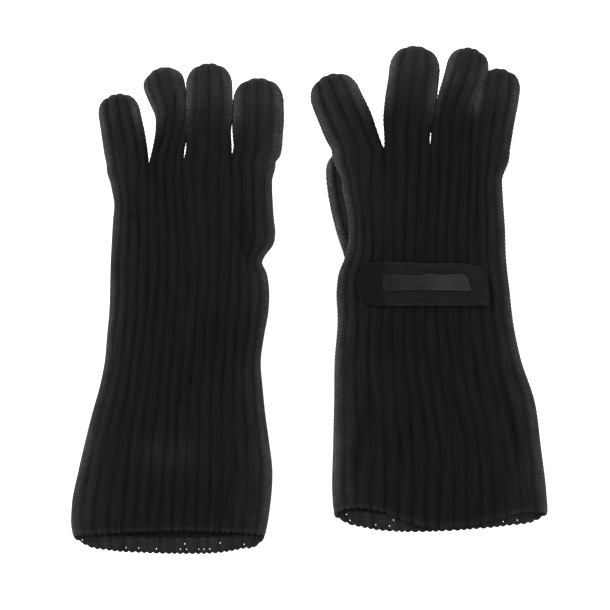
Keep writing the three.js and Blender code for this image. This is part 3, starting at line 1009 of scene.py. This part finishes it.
# ---- The wrist tab ----
TAB_MIDDLE = 10.6
PATCH_LEVEL, PATCH_THICK = 0.3, 0.8
STRAP_LEVEL, STRAP_THICK = 1.2, 1.5
LABEL_LEVEL, LABEL_THICK = 2.8, 0.7
TAB_ROUND = 14.9  # radius of the tab's loose end
TAB_ENDS = (30.6, 122.2)
STRAP_LOW = -4.3
STRAP_HIGH = [
    (40, 25.6), (53, 25.5), (80, 24.7), (109.6, 23.2), (117.2, 20.4), (120.6, 12.6), (122.2, 0),
]
LABEL_ENDS = (54.6, 109.4)
LABEL_LOW = [(54.6, 5.3), (60, 5.9), (75, 6.3), (90, 6.3), (104, 6.2), (109.4, 5.9)]
LABEL_HIGH = [
    (54.6, 17.4), (66, 16.9), (76, 16.9), (81, 17.9), (86, 17.0), (98, 17.2), (104.4, 16.8),
    (106.4, 15.6), (109.4, 7),
]
LABEL_TILT = [(54.6, 0.1), (70, -0.5), (80, 0.7), (90, 0.1), (100, 0.4), (109.4, 0.3)]
LABEL_MIDDLE = 11.6
LABEL_FOLD_ENDS = (49.2, 55.4)  # the folded end of the label that lies on the loose end of the tab
LABEL_FOLD_EDGES = (5.2, 17.2)
LABEL_SEAM = (54.6, 106.6)  # its stitched border runs inside these X
LABEL_RIB = 9.2  # Y of a plain raised rib on the label
ANCHOR_SEAM = [(111, -2), (120.4, -2), (119.4, 8), (116.6, 17), (111, 20), (111, -2)]
EDGE_SEAM = (56, 106)  # the tab's long edges are stitched between these X
SEAM_INSET = 1.3
EDGE_HIGHLIGHT_REACH = 0.7  # how far in from an edge the painted highlights on the tab and label reach
STRAP_EDGE_HIGHLIGHTS, LABEL_EDGE_HIGHLIGHTS = (0.2, 0.6), (1.1, 0.25)  # how light the painted highlights on the lower and upper edges are


def back_height(x):
    """Height of the right glove's back under the tab."""
    return 2 * MIDDLE + lift_at(GLOVES["right"], x, TAB_MIDDLE + 0 * x)


def strip_section(width, half):
    """A thin strip's section with rounded edges, once round: across and up."""
    turn = np.linspace(0, math.pi / 2, 4)
    edge = half - half * np.cos(turn)
    flat = np.linspace(half, width - half, 14)[1:-1]
    across = np.concatenate([edge, flat, width - edge[::-1]])
    up = half * np.concatenate([np.sin(turn), 1 + 0 * flat, np.sin(turn[::-1])])
    return np.concatenate([across, across[-2:0:-1]]), np.concatenate([up, -up[-2:0:-1]])


def strip_grid(ends, low, high, level, thick, ripple=None, stations=110):
    """Rings of a strip that lies along X over the back. low and high give its edges at an X."""
    start, end = ends
    share = (1 - np.cos(np.linspace(0, math.pi, stations))) / 2
    rings = []
    for x in start + (end - start) * share:
        from_end = min(min(x - start, end - x) / (thick / 2), 1)
        half = max(thick / 2 * math.sqrt(1 - (1 - from_end) ** 2), 0.02)
        width = max(high(x) - low(x), 2.2 * half)
        across, up = strip_section(width, half)
        y = (low(x) + high(x) - width) / 2 + across
        z = back_height(np.array(x)) + level + thick / 2 + up
        if ripple is not None:
            z = z + ripple(x, y)
        rings.append(np.stack([x + 0 * y, y, z], -1))
    return np.array(rings)


def add_strip(patchwork, rings, painted_light_and_fuzz=(0, 0)):
    """Adds a strip, with painted highlights along its lower and upper edges as strong as the last
    argument says.
    """
    y = rings[..., 1]
    from_low = (y - y.min(axis=1, keepdims=True)) / EDGE_HIGHLIGHT_REACH
    from_high = (y.max(axis=1, keepdims=True) - y) / EDGE_HIGHLIGHT_REACH
    fuzz_and_painted_light = painted_light_and_fuzz[0] * np.exp(-(from_low ** 2)) + painted_light_and_fuzz[1] * np.exp(-(from_high ** 2))
    patchwork.add(rings, grid_normals(rings), y / STITCH, rings[..., 0] / STITCH, fuzz_and_painted_light)


def at(points):
    """A function that reads a line of (place, value) points at one place."""
    return lambda place: float(curve(points, place))


def round_ended(line, sign):
    """An edge of the tab that runs into its half-round loose end."""

    def edge(x):
        short = max(TAB_ROUND - (x - TAB_ENDS[0]), 0)
        round_edge = TAB_MIDDLE + sign * math.sqrt(max(TAB_ROUND ** 2 - short ** 2, 0))
        return sign * min(sign * round_edge, sign * line(x)) if short > 0 else line(x)

    return edge


def bend_tab(piece, slot, *nodes):
    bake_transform(piece)
    finish_piece(piece, slot, *nodes)


def label_ripple(x, y):
    """How far the label stands off the tab: it is tilted, rippled and has one raised rib."""
    tilt = curve(LABEL_TILT, x) * (y - LABEL_MIDDLE) / 6
    raised_rib = 0.25 * np.exp(-(((y - LABEL_RIB) / 0.7) ** 2))
    raised_rib = raised_rib * smooth(x, 58, 61) * (1 - smooth(x, 76, 79))
    return tilt + 0.15 * np.sin(x / 3.1 + y / 4) + raised_rib + 0.35


def sewn_line(path, height, stitch=2.0, gap=0.9, thick=0.3):
    """Grids of raised stitches along a path of (x, y) corners."""
    grids = []
    for start, end in zip(path[:-1], path[1:]):
        start, end = np.array(start, float), np.array(end, float)
        run = np.linalg.norm(end - start)
        count = max(int(run / (stitch + gap)), 1)
        ahead = (end - start) / run
        side = np.array([-ahead[1], ahead[0]])
        for number in range(count):
            middle = start + ahead * run * (number + 0.5) / count
            share = np.linspace(-1, 1, 7)
            plump = np.maximum(np.sqrt(1 - share ** 2), 0.05)
            turn = np.linspace(0, 2 * math.pi, 7)[:-1]
            flat = middle + ahead * (share * stitch / 2)[:, None]
            flat = flat[:, None, :] + side * (thick * plump[:, None] * np.cos(turn))[..., None]
            z = height(middle[0], middle[1]) + thick * plump[:, None] * np.sin(turn)
            grids.append(np.concatenate([flat, z[..., None]], -1))
    return grids


def build_stitches(name, paths, height, *nodes):
    patchwork = Patchwork()
    for path in paths:
        for grid in sewn_line(path, height):
            add_strip(patchwork, grid)
    bend_tab(patchwork.build(name, THREAD), "thread", *nodes)


def on_strap(x, y):
    return float(back_height(np.array(x))) + STRAP_LEVEL + STRAP_THICK + 0.05


def on_label(x, y):
    top = LABEL_LEVEL + LABEL_THICK + 0.05
    return float(back_height(np.array(x)) + top + label_ripple(x, y))


def inset_border(low, high, start, end, inset, steps=8):
    """A closed path inside a strip's outline."""
    stops = np.linspace(start + inset, end - inset, steps)
    lower = [(x, low(x) + inset) for x in stops]
    upper = [(x, high(x) - inset) for x in stops[::-1]]
    return [*lower, *upper, lower[0]]


def build_label(low, high):
    label = Patchwork()
    strip = strip_grid(LABEL_ENDS, low, high, LABEL_LEVEL, LABEL_THICK, label_ripple)
    add_strip(label, strip, LABEL_EDGE_HIGHLIGHTS)
    fold_low, fold_high = LABEL_FOLD_EDGES
    fold = strip_grid(
        LABEL_FOLD_ENDS, lambda x: fold_low, lambda x: fold_high, LABEL_LEVEL, 0.6, stations=16
    )
    add_strip(label, fold)
    bend_tab(label.build("right_label_strip", LABEL), "label", "right_label")


def build_loop_patch():
    (start, low, _), (end, high, _) = (np.array(corner) * 1000 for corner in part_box("right_loop_patch"))
    patch = Patchwork()
    add_strip(
        patch, strip_grid((start, end), lambda x: low, lambda x: high, PATCH_LEVEL, PATCH_THICK)
    )
    patch = patch.build("right_loop_pile", PILE)
    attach(patch, "right_hand")
    finish_piece(patch, "loop_pile", "right_loop_patch")


def build_tab():
    strap_low = round_ended(lambda x: STRAP_LOW, -1)
    strap_high = round_ended(at(STRAP_HIGH), 1)
    strap = Patchwork()
    strip = strip_grid(TAB_ENDS, strap_low, strap_high, STRAP_LEVEL, STRAP_THICK)
    add_strip(strap, strip, STRAP_EDGE_HIGHLIGHTS)
    bend_tab(strap.build("right_tab_strap", WEBBING), "webbing", "right_wrist_tab", "right_tab_anchor")
    low, high = at(LABEL_LOW), at(LABEL_HIGH)
    build_label(low, high)
    build_loop_patch()
    build_stitches("right_anchor_stitches", [ANCHOR_SEAM], on_strap, "right_tab_seam")
    start, end = EDGE_SEAM
    upper = [(x, strap_high(x) - SEAM_INSET) for x in np.linspace(start, end, 5)]
    lower = [(x, STRAP_LOW + SEAM_INSET) for x in EDGE_SEAM]
    build_stitches("right_tab_edge_stitches", [upper, lower], on_strap)
    border = inset_border(low, high, *LABEL_SEAM, SEAM_INSET)
    build_stitches("right_label_stitches", [border], on_label, "right_label_seam")


for glove_side, glove_shape in GLOVES.items():
    build_glove(glove_side, glove_shape)
build_tab()


# ---- Stage ----
FLOOR_LEVEL = -0.16  # below the fingers and cuffs when they are bent down


def add_floor():
    mesh = bpy.data.meshes.new("floor")
    reach_out = 6.0
    corners = [(-1, -1), (1, -1), (1, 1), (-1, 1)]
    points = [(x * reach_out, y * reach_out, FLOOR_LEVEL) for x, y in corners]
    mesh.from_pydata(points, [], [(0, 1, 2, 3)])
    floor = bpy.data.objects.new("floor", mesh)
    bpy.context.scene.collection.objects.link(floor)
    material, tree, shader = new_material("pale_floor")
    inputs = {
        "Base Color": (0.92, 0.92, 0.92, 1),
        "Roughness": 0.9,
        "Emission Color": (1, 1, 1, 1),
        "Emission Strength": 0.45,
    }
    feed(tree, shader, inputs)
    mesh.materials.append(material)


def add_area_light(name, place, aim, size, power):
    data = bpy.data.lights.new(name, "AREA")
    data.shape = "RECTANGLE"
    data.size, data.size_y = size
    data.energy = power
    light = bpy.data.objects.new(name, data)
    light.location = place
    light.rotation_euler = (Vector(aim) - Vector(place)).to_track_quat("-Z", "Y").to_euler()
    bpy.context.scene.collection.objects.link(light)


def add_world():
    world = bpy.data.worlds.new("studio")
    world.use_nodes = True
    background = world.node_tree.nodes["Background"]
    feed(world.node_tree, background, {"Color": (1, 1, 1, 1), "Strength": 1.0})
    bpy.context.scene.world = world


def add_camera():
    """Straight above, on a long lens, with the frame a little wider than the pair is long."""
    height = 2.2
    frame_width = 0.4148
    data = bpy.data.cameras.new("camera")
    data.sensor_width = 36
    data.lens = 36 * height / frame_width
    data.clip_end = 50
    camera = bpy.data.objects.new("camera", data)
    camera.location = (-0.003, -0.0036, height)
    bpy.context.scene.collection.objects.link(camera)
    bpy.context.scene.camera = camera


add_floor()
add_world()
add_camera()
add_area_light("softbox", (-0.9, 0.7, 1.1), (0, 0, 0), (0.9, 0.7), 16)
add_area_light("fill", (0.9, 0.3, 1.4), (0, 0, 0), (1.0, 1.0), 6)
bpy.context.scene.view_settings.view_transform = "Standard"
